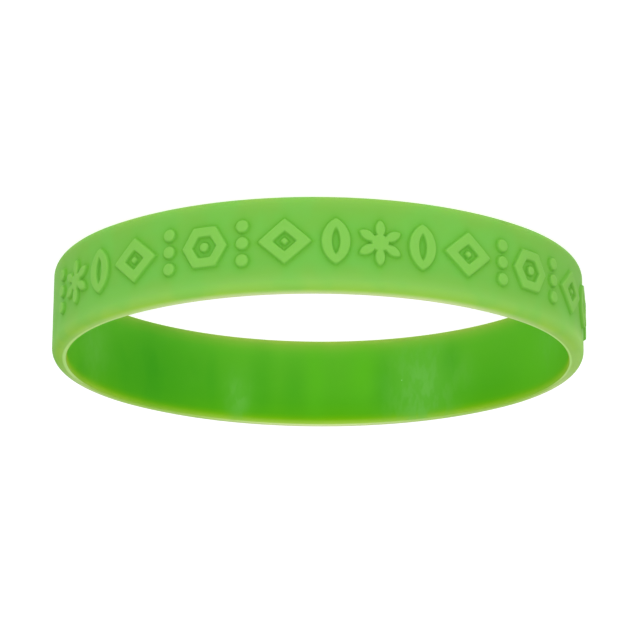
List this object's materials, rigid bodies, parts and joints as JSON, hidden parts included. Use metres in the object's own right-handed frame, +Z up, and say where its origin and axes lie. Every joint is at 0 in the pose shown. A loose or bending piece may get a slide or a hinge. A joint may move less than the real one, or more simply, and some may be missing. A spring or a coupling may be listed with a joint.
{
  "type": "embossed wristband",
  "caption": "Closed, slightly oval silicone wristband with rounded outer edges and a raised geometric frieze round about half of its outside.",
  "frame": {"origin": "middle of the loop, on the surface that the lower rim lies on", "axes": "+Z is up, along the axis that the wrist goes through; +X runs the long way across the loop; -Y is the middle of the front"},
  "size_m": [0.0684, 0.0616, 0.012],
  "materials": {
    "silicone": "soft satin, slightly translucent lime green"
  },
  "bodies": {
    "root": {"band": "silicone"}
  },
  "joints": []
}
